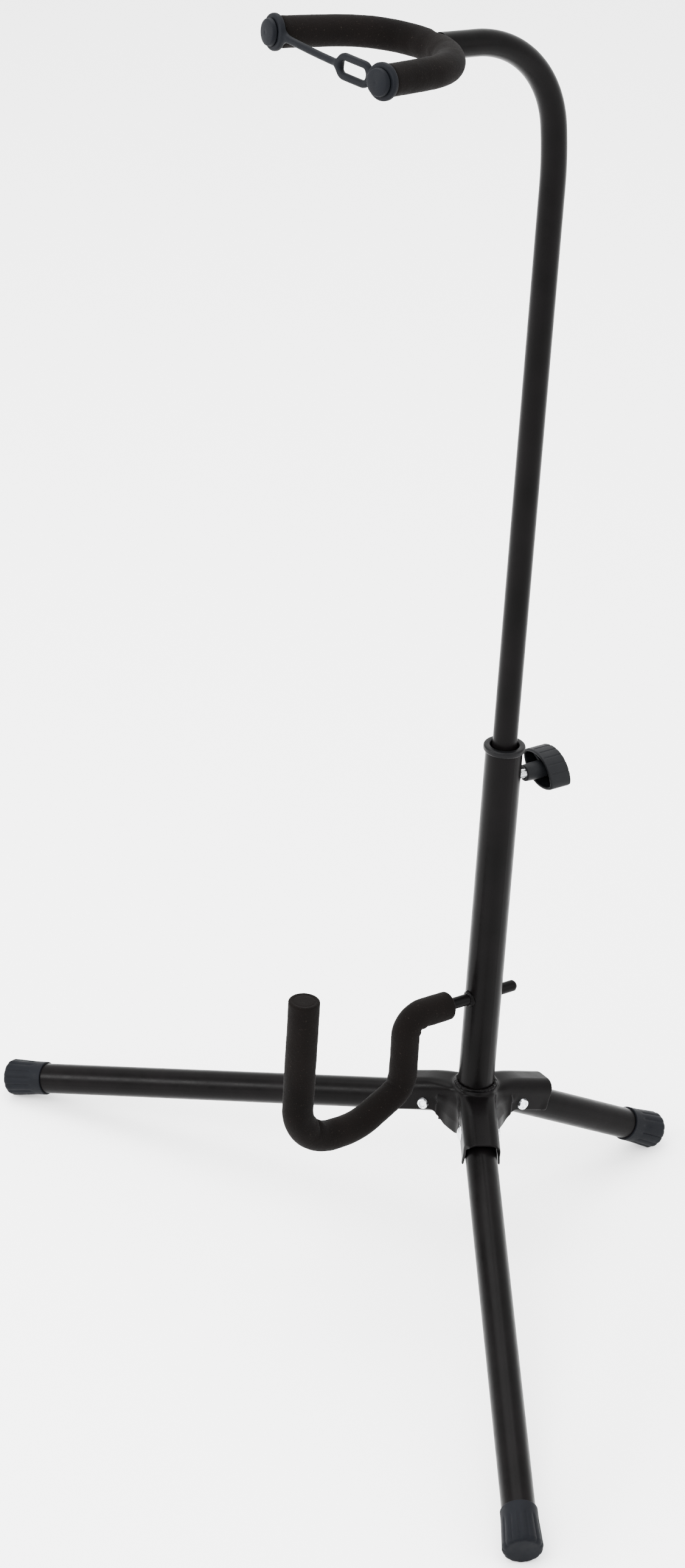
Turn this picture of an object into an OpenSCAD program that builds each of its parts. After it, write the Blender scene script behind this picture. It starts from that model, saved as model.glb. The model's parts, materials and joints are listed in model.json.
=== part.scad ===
// Tripod stand for a guitar: three folding legs in a stamped hub, an upright with a
// telescoping gooseneck, a foam-covered neck yoke with a strap, and a foam-covered J-shaped cradle.
// Millimetres. The floor is z = 0, the guitar hangs on the -Y side and +Z is up.

/* [Upright] */
// Outer diameter of the upright tube
upright_d = 25; // [24.5:0.1:25]
// Backward lean of the upright
lean = 4; // [3:0.5:6]
// Height of the upright's top above the hub's centre, along the tube
upright_top = 273; // [255:1:300]
// Wall thickness of every tube
tube_wall = 1.2; // [1:0.1:1.4]

/* [Neck] */
// Outer diameter of the telescoping tube
neck_d = 16.5; // [15.5:0.1:17]
// Height of the neck tube's lower end above the hub's centre
neck_foot = 195; // [150:1:210]
// Height at which the neck tube begins to bend
bend_start = 664; // [600:1:700]
// Radius of the gooseneck's main bend
goose_r = 73; // [65:1:80]
// Total angle of the gooseneck
goose_angle = 86; // [80:1:90]
// How far the neck is swivelled in the upright at rest
neck_swivel = 3; // [0:1:10]

/* [Yoke] */
// Radius of the yoke's round base
yoke_r = 46.5; // [40:0.5:50]
// Length of each straight prong of foam
prong = 37; // [32:1:45]
// Outward splay of each prong
splay = 9; // [0:1:12]
// Outer diameter of every foam sleeve
foam_d = 19; // [18:0.5:20]

/* [Cradle] */
// Height of the cradle rod above the hub's centre
cradle_h = 84.5; // [80:0.5:100]
// Diameter of the cradle and yoke rods
rod_d = 8; // [7:0.5:8]
// Height of the cradle's upturned tip, above its last bend
tip_rise = 84; // [60:1:100]

/* [Base] */
// Outer diameter of each leg
leg_d = 21.8; // [21.4:0.1:21.8]
// Distance of each leg's hinge from the upright's centre line
pivot_r = 33; // [32:0.5:34]
// Length of a front leg from its hinge to the end of its cap
front_leg = 347; // [300:1:400]
// Angle of the front legs below the hub's plane
front_droop = 15.6; // [15:0.1:17]
// Angle of the rear leg below the hub's plane
rear_droop = 27.9; // [26:0.1:29]

/* [Hidden] */
$fn = 48;

steel = [0.09, 0.09, 0.1];
foam_black = [0.13, 0.13, 0.14];
rubber_grey = [0.24, 0.25, 0.28];
bright = [0.75, 0.76, 0.78];
fit = 0.05;     // radial clearance of a running fit
over = 1;       // how far a cutting shape runs past the solid that it cuts
lap = 0.25;     // how far a straight laps the bend beside it
step = 0.05;    // how much thinner a bend is than the straight beside it

// Hub: a roof that falls away from the neck, with the channels below it
wall = 1.5;
ridge_h = 20.6;
roof_droop = 17.9;
channel_w = leg_d + 0.4 + 2 * wall;
channel_depth = 21;
channel_len = 64;
corner_r = 8.4;
fillet_r = 30;
skirt_low = -18;
neck_r = 15;
neck_top = 14.5;
upright_low = -4;

// Legs
pivot_h = -7.2;
leg_tail = 9;
cap_len = 31;
cap_rim_r = 12.1;
cap_end_r = 13;
cap_round = 2.5;
rivet_r = 3;
rivet_head_r = 5.6;
rivet_head_h = 2.4;
tail_swing = sqrt(pow(leg_tail, 2) + pow(leg_d / 2, 2));

// The feet stand on one floor: its depth below the hub's centre follows from the front legs
function leg_dir(a, droop) = [cos(a) * cos(droop), sin(a) * cos(droop), -sin(droop)];
function leaned(p) = [p.x, p.y * cos(lean) + p.z * sin(lean), p.z * cos(lean) - p.y * sin(lean)];
function pivot_at(a) = leaned([pivot_r * cos(a), pivot_r * sin(a), pivot_h]);
function rim_at(a, droop, len) = pivot_at(a) + (len - cap_round) * leaned(leg_dir(a, droop));
// Reach of the rounded cap end past its rim circle, along one world axis (0, 1 or 2)
function cap_reach(d, axis) = (cap_end_r - cap_round) * sqrt(1 - pow(d[axis], 2)) + cap_round;
front_dir = leaned(leg_dir(-30, front_droop));
rear_dir = leaned(leg_dir(90, rear_droop));
hub_h = cap_reach(front_dir, 2) - rim_at(-30, front_droop, front_leg).z;
rear_leg = (hub_h - cap_reach(rear_dir, 2) + pivot_at(90).z) / -rear_dir.z + cap_round;
front_y = rim_at(-30, front_droop, front_leg).y - cap_reach(front_dir, 1);
rear_y = rim_at(90, rear_droop, rear_leg).y + cap_reach(rear_dir, 1);
hub_y = -(front_y + rear_y) / 2;

// Clamp
bore_d = upright_d - 2 * tube_wall;
clamp_h = upright_top - 22;
flange_r = 14;
bush_low = upright_top - 35;
bush_r = neck_d / 2 + fit;
guide_len = 14;
plate_t = 1.2;
plate_half = 3.85;
pad_t = 0.9;
pad_r = 2.9;
screw_r = 3;
grip_near = 29.6;
grip_depth = 16.5;
grip_len = 37.5;
grip_w = 21.5;
grip_turn = -23;
boss_near = 18;
boss_r = 6;

// Neck and yoke: [straight, bend radius, bend angle] steps, bending towards -Y
pre_r = 260;
pre_angle = 8.6;
goose_joint = 1;
goose_tail = 27.4;
yoke_gap = 6;
neck_steps = [[bend_start - neck_foot, pre_r, pre_angle],
              [goose_joint, goose_r, goose_angle - pre_angle], [goose_tail, 0, 0]];
yoke_foot_y = -(pre_r * (1 - cos(pre_angle)) + goose_joint * sin(pre_angle)
                + goose_r * (cos(pre_angle) - cos(goose_angle))
                + (goose_tail + yoke_gap) * sin(goose_angle));
yoke_foot_z = bend_start + pre_r * sin(pre_angle) + goose_joint * cos(pre_angle)
              + goose_r * (sin(goose_angle) - sin(pre_angle))
              + (goose_tail + yoke_gap) * cos(goose_angle);
yoke_arc = 90 - splay;
prong_rod = prong + 2;
sleeve_back = 7;      // how far each plug's sleeve reaches back inside the foam
sleeve_r = 5.4;
ring_t = 4.4;
ring_r = 11.2;
button_r = 8.3;
button_h = 3.9;
strap_r = 2.3;
slot_len = 33;
slot_w = 16;
slot_wall = 4.5;

// Cradle
stub = 26.5;
cradle_bend = 50;
foam_start = 28;
tip_cover = 4;

// ---- Helpers ----

module tilted() translate([0, hub_y, hub_h]) rotate([-lean, 0, 0]) children();
module on_neck() tilted() rotate([0, 0, neck_swivel]) children();
module on_yoke() on_neck() translate([0, yoke_foot_y, yoke_foot_z])
    rotate([goose_angle - 90, 0, 0]) children();

// Part of a round tube's ring, starting at the origin along +Z and bending towards -Y
module bend(radius, angle, r, inner) translate([0, -radius, 0]) rotate([90, 0, 90])
    rotate_extrude(angle = angle) translate([radius, 0]) difference() {
        circle(r - step);
        if (inner > 0) circle(inner + step);
    }

// A round bar or tube through [straight, bend radius, bend angle] steps, from the origin along
// +Z. A positive angle bends towards -Y and a negative one towards +Y. Each straight laps the
// bends at its ends, and a tube's far end is closed by a cover of the given thickness.
module bar(steps, r, inner = 0, cover = 0, i = 0) {
    if (i < len(steps)) {
        side = steps[i][2] < 0 ? 1 : 0;
        angle = abs(steps[i][2]);
        radius = steps[i][1];
        low = i > 0 ? -lap : 0;
        high = steps[i][0] + (angle > 0 ? lap : 0);
        difference() {
            translate([0, 0, low]) cylinder(h = high - low, r = r);
            if (inner > 0) translate([0, 0, low - over])
                cylinder(h = high - low + over + (angle > 0 || cover == 0 ? over : -cover), r = inner);
        }
        translate([0, 0, steps[i][0]]) mirror([0, side, 0]) {
            if (angle > 0) bend(radius, angle, r, inner);
            translate([0, -radius * (1 - cos(angle)), radius * sin(angle)]) rotate([angle, 0, 0])
                mirror([0, side, 0]) bar(steps, r, inner, cover, i + 1);
        }
    }
}

module tube(h, r, inner) difference() {
    cylinder(h = h, r = r);
    if (inner > 0) translate([0, 0, -over]) cylinder(h = h + 2 * over, r = inner);
}

// A leg's own frame: origin at the hinge, +Z along the leg towards the foot, +Y upwards, X along
// the hinge
module on_leg(a, droop) tilted() rotate([0, 0, a]) translate([pivot_r, 0, pivot_h])
    rotate([0, 90 + droop, 0]) rotate([0, 0, -90]) mirror([1, 0, 0]) children();

// ---- Base ----

// Section of a channel below its ridge line, inset all round by t
module channel_section(t) {
    half = channel_w / 2 - t;
    r = corner_r - t;
    translate([-half, -channel_depth - 20 * t]) square([2 * half, channel_depth - r + 19 * t]);
    translate([r - half, -channel_depth]) square([2 * (half - r), channel_depth - t]);
    for (s = [-1, 1]) translate([s * (half - r), -t - r]) circle(r);
}

module channel(t, len) translate([0, 0, ridge_h]) rotate([0, roof_droop, 0])
    rotate([90, 0, 90]) linear_extrude(len) channel_section(t);

// The concave web between two channels, inset by t, from low to high
module web(t, low, high) {
    half = channel_w / 2 - t;
    r = fillet_r + t;
    corner = half / sin(60);
    reach = corner * cos(60) + r / tan(60);
    difference() {
        translate([0, 0, low]) rotate([0, 0, 60]) linear_extrude(high - low)
            polygon([[0, 0], [cos(60) * reach + sin(60) * half, -sin(60) * reach + cos(60) * half],
                     [corner + r / sin(60) * 0.5, 0],
                     [cos(60) * reach + sin(60) * half, sin(60) * reach - cos(60) * half]]);
        rotate([0, 0, 60]) translate([corner + r / sin(60), 0, low - over])
            cylinder(h = high - low + 2 * over, r = r, $fn = 96);
    }
}

module hub() color(steel) tilted() {
    difference() {
        union() {
            for (a = [-30, 90, 210]) rotate([0, 0, a]) {
                channel(0, channel_len);
                web(0, skirt_low, 4);
            }
            rotate_extrude() polygon([[0, -2], [26, -2], [25, 4.5], [20, 7.2], [neck_r + 1, 9.5],
                                      [neck_r, 11], [neck_r, neck_top], [0, neck_top]]);
        }
        // The neck's top is flat, and the roofs end level with it
        translate([0, 0, neck_top]) cylinder(h = 20, r = 22);
        for (a = [-30, 90, 210]) rotate([0, 0, a]) {
            difference() {
                channel(wall, channel_len + over);
                translate([0, 0, neck_top - wall]) cylinder(h = 20, r = 22);
            }
            web(wall, skirt_low - over, 2.4);
            translate([pivot_r, 0, pivot_h]) rotate([90, 0, 0])
                cylinder(h = 2 * channel_w, r = rivet_r + fit, center = true);
        }
        translate([0, 0, -3]) rotate_extrude() polygon([[0, 0], [24.6, 0], [23.8, 6], [19.4, 8.7],
                                                        [neck_r - 1.5, 11], [0, 11]]);
        cylinder(h = 100, r = upright_d / 2 + fit, center = true);
    }
    // A stop tab under each leg's inner end
    for (leg = [[-30, front_droop], [90, rear_droop], [210, front_droop]]) {
        drop = leg_tail * sin(leg[1]) - leg_d / 2 * cos(leg[1]) + pivot_h - 0.15;
        end = pivot_r - leg_tail * cos(leg[1]) - leg_d / 2 * sin(leg[1]);
        rotate([0, 0, leg[0]]) translate([end - 4, -channel_w / 2 + 0.5, drop - wall])
            cube([4, channel_w - 1, wall]);
    }
}

module hub_weld() color(steel) tilted() translate([0, 0, neck_top + 0.02]) rotate_extrude()
    translate([upright_d / 2 + 1.4, 0]) intersection() {
        circle(1.35);
        translate([-2, 0]) square([4, 2]);
    }

module leg(a, droop, len) color(steel) on_leg(a, droop) difference() {
    translate([0, 0, -leg_tail]) tube(len + leg_tail - 2.6, leg_d / 2, leg_d / 2 - tube_wall);
    rotate([0, 90, 0]) cylinder(h = 2 * leg_d, r = rivet_r + fit, center = true);
}

module leg_left() leg(210, front_droop, front_leg);
module leg_right() leg(-30, front_droop, front_leg);
module leg_rear() leg(90, rear_droop, rear_leg);

// Domed head on the +X side of the leg's frame, rolled end on the other
module rivet(a, droop, head) color(bright) on_leg(a, droop) mirror([head, 0, 0])
    rotate([0, 90, 0]) {
        translate([0, 0, -channel_w / 2 - 0.1]) cylinder(h = channel_w + 0.2, r = rivet_r);
        translate([0, 0, channel_w / 2 + 0.02]) rotate_extrude() intersection() {
            translate([0, rivet_head_h - 8]) circle(8);
            square([rivet_head_r, rivet_head_h]);
        }
        translate([0, 0, -channel_w / 2 - 1.42]) difference() {
            cylinder(h = 1.4, r = 4.1);
            translate([0, 0, -over]) cylinder(h = 1 + over, r = 1.9);
        }
    }

module rivet_left() rivet(210, front_droop, 1);
module rivet_right() rivet(-30, front_droop, 1);
module rivet_rear() rivet(90, rear_droop, 0);

module foot_cap(a, droop, len) color(rubber_grey) on_leg(a, droop)
    translate([0, 0, len - cap_len]) difference() {
        rotate_extrude() {
            polygon([[0, 0], [cap_rim_r, 0], [cap_rim_r, 7], [cap_end_r, cap_len - 8],
                     [cap_end_r, cap_len - cap_round], [0, cap_len - cap_round]]);
            square([cap_end_r - cap_round, cap_len]);
            intersection() {
                translate([cap_end_r - cap_round, cap_len - cap_round]) circle(cap_round);
                square([cap_end_r, cap_len]);
            }
        }
        translate([0, 0, -over]) cylinder(h = cap_len - 2.5 + over, r = leg_d / 2 + 0.02);
    }

module foot_cap_left() foot_cap(210, front_droop, front_leg);
module foot_cap_right() foot_cap(-30, front_droop, front_leg);
module foot_cap_rear() foot_cap(90, rear_droop, rear_leg);

// ---- Upright and clamp ----

module upright_tube() color(steel) tilted() difference() {
    translate([0, 0, upright_low]) tube(upright_top - upright_low, upright_d / 2, bore_d / 2);
    translate([0, 0, cradle_h]) rotate([90, 0, 0])
        cylinder(h = 2 * upright_d, r = rod_d / 2 + 0.02, center = true);
    translate([0, 0, clamp_h]) rotate([-90, 0, 0]) cylinder(h = upright_d, r = screw_r + 0.5);
}

module top_bush() color(steel) tilted() difference() {
    rotate_extrude() {
        translate([0, bush_low]) square([bore_d / 2 - 0.05, upright_top - bush_low + 2]);
        translate([0, upright_top + 0.02]) square([flange_r - 1.6, 4.4]);
        translate([0, upright_top + 1.6]) square([flange_r, 1.2]);
        for (h = [1.62, 2.8]) translate([flange_r - 1.6, upright_top + h]) circle(1.6);
    }
    translate([0, 0, bush_low - over]) cylinder(h = 60, r = bush_r);
    translate([0, 0, upright_top - 3]) cylinder(h = 20, r = 9.6);
    translate([0, 0, clamp_h]) rotate([-90, 0, 0]) cylinder(h = upright_d, r = 3.6);
    translate([-plate_half - 0.1, bush_r + pad_t + 0.1, clamp_h - 5.1])
        cube([2 * plate_half + 0.2, 10, 10.2]);
}

module clamp_plate() color(bright) tilted() difference() {
    translate([-plate_half, bush_r + pad_t + 0.15, clamp_h - 5])
        cube([2 * plate_half, plate_t, 10]);
    translate([0, 0, clamp_h]) rotate([-90, 0, 0]) cylinder(h = upright_d, r = screw_r + fit);
}

module clamp_pad() color(bright) tilted() translate([0, bush_r + 0.02, clamp_h])
    rotate([-90, 0, 0]) cylinder(h = pad_t - 0.04, r = pad_r);

module clamp_screw() color(bright) tilted() translate([0, bush_r + pad_t, clamp_h])
    rotate([-90, 0, 0]) cylinder(h = grip_near + 8 - bush_r - pad_t, r = screw_r);

// Lens outline of the grip, inset by t
module lens(t) {
    arc_r = (pow(grip_len, 2) + pow(grip_w, 2)) / (4 * grip_w);
    intersection() {
        translate([0, arc_r - grip_w / 2]) circle(arc_r - t, $fn = 96);
        translate([0, grip_w / 2 - arc_r]) circle(arc_r - t, $fn = 96);
        circle(grip_len / 2 - 0.6 - t);
    }
}

module clamp_knob() color(rubber_grey) tilted() translate([0, 0, clamp_h]) rotate([-90, 0, 0])
    rotate([0, 0, -grip_turn]) difference() {
        union() {
            translate([0, 0, grip_near]) difference() {
                linear_extrude(grip_depth) lens(0);
                translate([0, 0, -over]) linear_extrude(grip_depth - 2.4 + over) lens(2);
            }
            translate([0, 0, boss_near])
                cylinder(h = grip_near + grip_depth - boss_near - over, r = boss_r);
        }
        translate([0, 0, boss_near - over]) cylinder(h = 4 + over, r = 3.9);
        translate([0, 0, boss_near - over])
            cylinder(h = grip_near + 8 - boss_near + over, r = screw_r + 0.02);
    }

module guide_bush() color(rubber_grey) tilted() translate([0, 0, neck_foot])
    tube(guide_len, bore_d / 2 - fit, neck_d / 2 + fit);

// ---- Neck and yoke ----

module neck_tube() color(steel) on_neck() translate([0, 0, neck_foot])
    bar(neck_steps, neck_d / 2, neck_d / 2 - tube_wall);

// The yoke's frame: origin on the rod's centre line at its base, -Y forwards along the prongs.
// One round base with a straight prong lapping each of its ends.
module yoke_bar(r, prong_len, inner = 0) {
    translate([0, -yoke_r, 0]) rotate([0, 0, 90 - yoke_arc]) rotate_extrude(angle = 2 * yoke_arc)
        translate([yoke_r, 0]) difference() {
            circle(r - step);
            if (inner > 0) circle(inner + step);
        }
    for (side = [0, 1]) mirror([side, 0, 0]) in_prong() translate([0, 0, -lap])
        tube(prong_len + lap, r, inner);
}

module in_prong() translate([yoke_r * sin(yoke_arc), -yoke_r * (1 - cos(yoke_arc)), 0])
    rotate([0, 90, -yoke_arc]) children();

// Frame at the end of the base's curve: +Z along the prong towards its tip
module on_prong(side) on_yoke() mirror([side, 0, 0]) in_prong() children();

module yoke_rod() color(steel) on_yoke() yoke_bar(rod_d / 2, prong_rod);

// Spigot from inside the gooseneck's end to the back of the rod
module yoke_weld() color(steel) on_yoke() difference() {
    translate([0, yoke_gap + 12, 0]) rotate([90, 0, 0])
        cylinder(h = yoke_gap + 12, r = neck_d / 2 - tube_wall - 0.03);
    translate([0, -yoke_r, 0]) rotate([0, 0, 75]) rotate_extrude(angle = 30)
        translate([yoke_r, 0]) circle(rod_d / 2 + 0.02);
}

module yoke_foam() color(foam_black) difference() {
    on_yoke() yoke_bar(foam_d / 2, prong, rod_d / 2 + 0.02);
    on_yoke() rotate([-90, 0, 0]) cylinder(h = 30, r = neck_d / 2 + 0.02);
    for (side = [0, 1]) on_prong(side) translate([0, 0, prong - sleeve_back - 0.1])
        cylinder(h = sleeve_back + 2, r = sleeve_r + 0.02);
}

module yoke_plug(side) color(rubber_grey) on_prong(side) difference() {
    union() {
        translate([0, 0, prong - sleeve_back])
            cylinder(h = sleeve_back + ring_t + 0.3, r = sleeve_r);
        translate([0, 0, prong + ring_t + 0.1]) rotate_extrude() {
            square([button_r, button_h - 2.4]);
            intersection() {
                translate([0, button_h - 20]) circle(20, $fn = 96);
                square([button_r - 0.8, button_h]);
            }
        }
    }
    translate([0, 0, prong - sleeve_back - over])
        cylinder(h = sleeve_back + over + prong_rod - prong + 0.1, r = rod_d / 2 + 0.02);
}

module yoke_plug_left() yoke_plug(1);
module yoke_plug_right() yoke_plug(0);

module strap_ring(side) on_prong(side) translate([0, 0, prong + 0.05])
    tube(ring_t, ring_r, sleeve_r + 0.02);

// The strap lies across the prongs: its own frame has X across and Z upwards
ring_x = yoke_r * sin(yoke_arc) + (prong + ring_t / 2) * cos(yoke_arc);
ring_y = -yoke_r * (1 - cos(yoke_arc)) - (prong + ring_t / 2) * sin(yoke_arc);
slot_mid = ring_x - ring_r - slot_len / 2 + 1.2;

module capsule(length, width) {
    square([length - width, width], center = true);
    for (s = [-1, 1]) translate([s * (length - width) / 2, 0]) circle(width / 2);
}

module security_strap() color(rubber_grey) {
    for (side = [0, 1]) strap_ring(side);
    on_yoke() translate([0, ring_y, 0]) {
        translate([-ring_x + ring_r - 1, 0, 0]) rotate([0, 90, 0])
            cylinder(h = slot_mid - slot_len / 2 + ring_x - ring_r + 3, r = strap_r);
        translate([slot_mid, ring_t / 2 - 0.2, 0]) rotate([90, 0, 0]) difference() {
            linear_extrude(ring_t - 0.4) capsule(slot_len, slot_w);
            translate([0, 0, -over]) linear_extrude(ring_t + 2 * over)
                capsule(slot_len - 2 * slot_wall, slot_w - 2 * slot_wall);
        }
    }
}

// ---- Cradle ----

module on_rod(start) tilted() translate([0, start, cradle_h]) rotate([90, 0, 0]) children();

module cradle_bar(start, last, r, inner = 0, cover = 0) on_rod(start)
    bar([[start + cradle_bend, 14, 90], [30.5, 18, -60], [19, 45, -30], [8, 30, -90],
         [last, 0, 0]], r, inner, cover);

module cradle_rod() color(steel) cradle_bar(stub, tip_rise - tip_cover - 0.1, rod_d / 2);

module cradle_weld() color(steel) tilted() translate([0, 0, cradle_h]) rotate([90, 0, 0])
    difference() {
        cylinder(h = upright_d / 2 + 2.4, r = rod_d / 2 + 2);
        translate([0, 0, -over]) cylinder(h = 30, r = rod_d / 2 + 0.02);
        rotate([90, 0, 0]) cylinder(h = 60, r = upright_d / 2 + 0.02, center = true);
    }

module cradle_foam() color(foam_black)
    cradle_bar(-foam_start, tip_rise, foam_d / 2, rod_d / 2 + 0.02, tip_cover);

hub();
hub_weld();
upright_tube();
top_bush();
clamp_plate();
clamp_pad();
clamp_screw();
clamp_knob();
guide_bush();
neck_tube();
yoke_weld();
yoke_rod();
yoke_foam();
yoke_plug_left();
yoke_plug_right();
security_strap();
cradle_rod();
cradle_weld();
cradle_foam();
leg_left();
leg_right();
leg_rear();
rivet_left();
rivet_right();
rivet_rear();
foot_cap_left();
foot_cap_right();
foot_cap_rear();
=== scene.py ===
import json
import math

import bpy
import numpy as np
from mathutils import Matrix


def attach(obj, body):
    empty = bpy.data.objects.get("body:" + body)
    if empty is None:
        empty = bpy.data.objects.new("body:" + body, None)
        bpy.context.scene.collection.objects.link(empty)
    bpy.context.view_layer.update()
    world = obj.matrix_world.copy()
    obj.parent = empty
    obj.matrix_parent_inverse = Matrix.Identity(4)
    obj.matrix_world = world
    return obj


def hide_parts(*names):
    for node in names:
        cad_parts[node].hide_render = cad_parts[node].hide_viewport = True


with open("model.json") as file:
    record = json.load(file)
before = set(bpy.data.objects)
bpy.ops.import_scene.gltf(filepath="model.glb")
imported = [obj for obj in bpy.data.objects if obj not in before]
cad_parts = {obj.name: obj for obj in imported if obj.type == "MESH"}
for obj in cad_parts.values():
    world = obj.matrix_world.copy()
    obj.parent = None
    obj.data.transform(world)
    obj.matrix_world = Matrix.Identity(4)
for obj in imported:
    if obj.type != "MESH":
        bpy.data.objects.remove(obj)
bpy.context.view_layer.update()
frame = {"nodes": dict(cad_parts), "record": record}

import openvdb as vdb
from mathutils import Matrix, Vector

# ---------------------------------------------------------------------------------------------
# Dimensions in millimetres, angles in degrees. The tube frame has its origin on the upright's
# centre line at the hub: X across, Y to the rear, Z up along the tube.
# ---------------------------------------------------------------------------------------------
LEAN = 4.0                          # the upright, to the rear
HUB_Y, HUB_H = 16.8232, 99.5825     # the tube frame's origin in the row frame
SWIVEL = 3.0                        # the neck at rest
UPRIGHT_R, UPRIGHT_TOP = 12.5, 273.0
PIVOT_R, PIVOT_H = 33.0, -7.2       # a leg's hinge: out from the tube's axis, and its height
LEG_R = 10.9
LEG_BACK = 9.0                      # a leg's inner end, behind its hinge
FRONT_DROOP, REAR_DROOP = 15.6, 27.9
FRONT_LEG, REAR_LEG = 347.0, 151.399
CLAMP_H = 251.0                     # the clamp screw's axis
CRADLE_H = 84.5                     # the cradle rod's axis where it crosses the upright


def move(x, y, z):
    m = np.eye(4)
    m[:3, 3] = (x, y, z)
    return m


def turn(axis, degrees):
    m = np.eye(4)
    m[:3, :3] = np.array(Matrix.Rotation(math.radians(degrees), 3, axis))
    return m


def mirror_x():
    return np.diag([-1.0, 1.0, 1.0, 1.0])


TUBE = move(0, HUB_Y, HUB_H) @ turn("X", -LEAN)
NECK = TUBE @ turn("Z", SWIVEL)


def leg_frame(azimuth, droop):
    """Origin at the hinge, +Z along the leg to its foot, +Y up, +X along the hinge."""
    return (TUBE @ turn("Z", azimuth) @ move(PIVOT_R, 0, PIVOT_H) @ turn("Y", 90 + droop)
            @ turn("Z", -90) @ mirror_x())


# Azimuth and droop of each leg, and the distance from its hinge to its cap's end
LEGS = {"left": (210, FRONT_DROOP, FRONT_LEG), "right": (-30, FRONT_DROOP, FRONT_LEG),
        "rear": (90, REAR_DROOP, REAR_LEG)}


def place(m, p):
    """Points p, in mm in frame m, as metres in the row frame."""
    return (np.asarray(p, float) @ m[:3, :3].T + m[:3, 3]) / 1000.0


# ---------------------------------------------------------------------------------------------
# Noise
# ---------------------------------------------------------------------------------------------
def lattice(i, j, k, seed):
    """A fixed pseudo-random value from -1 to 1 for each grid point."""
    n = (i * 374761393 + j * 668265263 + k * 1274126177 + seed * 974711) & 0xFFFFFFFF
    n = ((n ^ (n >> 13)) * 1103515245) & 0xFFFFFFFF
    n = ((n ^ (n >> 15)) * 2654435761) & 0xFFFFFFFF
    return ((n ^ (n >> 16)) & 0xFFFF) / 32767.5 - 1.0


def fuzz(p, size, seed):
    """Smooth noise from -1 to 1 at points p (..., 3), with features of about size."""
    q = np.asarray(p, float) / size + 1000.0
    f = np.floor(q).astype(np.int64)
    w = q - f
    w = w * w * (3 - 2 * w)
    out = 0.0
    for a in (0, 1):
        for b in (0, 1):
            for c in (0, 1):
                weight = ((w[..., 0] if a else 1 - w[..., 0])
                          * (w[..., 1] if b else 1 - w[..., 1])
                          * (w[..., 2] if c else 1 - w[..., 2]))
                out = out + weight * lattice(f[..., 0] + a, f[..., 1] + b, f[..., 2] + c, seed)
    return out


# ---------------------------------------------------------------------------------------------
# Mesh building
# ---------------------------------------------------------------------------------------------
def make(name, points, faces, body, material, replaced=(), crease=None):
    """A finished piece from points in metres in the row frame."""
    mesh = bpy.data.meshes.new(name)
    mesh.from_pydata(np.asarray(points).tolist(), [], [list(map(int, f)) for f in faces])
    mesh.validate()
    tri = np.array([[f[0], f[i], f[i + 1]] for f in faces for i in range(1, len(f) - 1)])
    p = np.asarray(points)
    volume = np.einsum("ij,ij->i", p[tri[:, 0]], np.cross(p[tri[:, 1]], p[tri[:, 2]])).sum()
    if volume < 0:
        mesh.flip_normals()
    mesh.polygons.foreach_set("use_smooth", [True] * len(mesh.polygons))
    if crease:
        mesh.set_sharp_from_angle(angle=math.radians(crease))
    mesh.materials.append(material)
    mesh.update()
    o = bpy.data.objects.new(name, mesh)
    bpy.context.collection.objects.link(o)
    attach(o, body)
    if replaced:
        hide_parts(*replaced)
    return o


def rings(grid, closed=False):
    """Faces that join a grid of rings, (rows, around, 3), into a capped tube, or into a hollow
    form whose last ring joins its first."""
    rows, around = grid.shape[:2]
    faces = []
    for i in range(rows if closed else rows - 1):
        a, b = i * around, ((i + 1) % rows) * around
        for j in range(around):
            k = (j + 1) % around
            faces.append((a + j, a + k, b + k, b + j))
    if not closed:
        faces.append(tuple(range(around))[::-1])
        faces.append(tuple((rows - 1) * around + j for j in range(around)))
    return grid.reshape(-1, 3), faces


def lathe(profile, around, radial=None, closed=False):
    """Rings about Z through (radius, height) points. radial(angle, r, z) gives a new radius."""
    angle = np.linspace(0, 2 * math.pi, around, endpoint=False)
    grid = []
    for r, z in profile:
        rr = np.full(around, float(r)) if radial is None else radial(angle, r, z)
        grid.append(np.stack([rr * np.cos(angle), rr * np.sin(angle), np.full(around, z)], -1))
    return rings(np.array(grid), closed)


def arc(cx, cz, r, start, end, n):
    t = np.radians(np.linspace(start, end, n))
    return [(cx + r * math.cos(a), cz + r * math.sin(a)) for a in t]


def route(steps, pace):
    """Centre line in the Y-Z plane from the origin along +Z, through steps of straight length,
    bend radius and bend angle: points, headings from +Z to -Y, and distances along it."""
    pts, heads, at, head = [], [], np.zeros(2), 0.0
    for length, radius, bend in steps:
        n = max(2, int(length / pace))
        for t in np.linspace(0, length, n, endpoint=False):
            pts.append(at + t * np.array([-math.sin(head), math.cos(head)]))
            heads.append(head)
        at = at + length * np.array([-math.sin(head), math.cos(head)])
        if bend:
            side = 1 if bend > 0 else -1
            a = math.radians(abs(bend))
            centre = at + side * radius * np.array([-math.cos(head), -math.sin(head)])
            n = max(3, int(radius * a / pace))
            for t in np.linspace(0, a, n, endpoint=False):
                h = head + side * t
                pts.append(centre - side * radius * np.array([-math.cos(h), -math.sin(h)]))
                heads.append(h)
            head += side * a
            at = centre - side * radius * np.array([-math.cos(head), -math.sin(head)])
    pts.append(at)
    heads.append(head)
    pts, heads = np.array(pts), np.array(heads)
    run = np.concatenate([[0], np.cumsum(np.linalg.norm(np.diff(pts, axis=0), axis=1))])
    return pts, heads, run


def bend_middles(steps):
    """Distance along a route to the middle of each of its bends."""
    middles, at = [], 0.0
    for length, radius, bend in steps:
        curve = radius * math.radians(abs(bend))
        middles.append(at + length + curve / 2)
        at += length + curve
    return middles


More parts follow.
